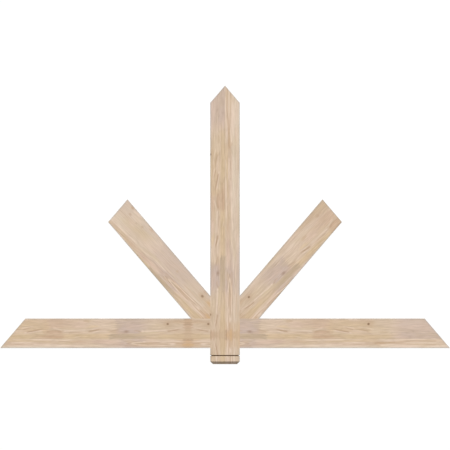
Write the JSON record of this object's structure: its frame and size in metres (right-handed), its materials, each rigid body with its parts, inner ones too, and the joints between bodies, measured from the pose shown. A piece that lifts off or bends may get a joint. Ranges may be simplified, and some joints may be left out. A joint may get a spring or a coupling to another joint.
{
  "type": "timber gable bracket",
  "caption": "Open gable truss of planed timber: a pointed king post crosses a level tie beam, with slanting braces and a grooved, chamfered foot. Outer ends follow the roof slope.",
  "frame": {"origin": "on the back face, where the centre lines of the king post and the tie beam cross", "axes": "+X along the tie beam to the right, +Y up the gable, +Z out of the front face; it lies on its back"},
  "size_m": [2.1336, 1.3208, 0.0889],
  "materials": {
    "timber": "planed softwood, unfinished, matt"
  },
  "bodies": {
    "root": {"king_post": "timber", "tie_beam": "timber", "brace_left": "timber", "brace_right": "timber"}
  },
  "joints": []
}
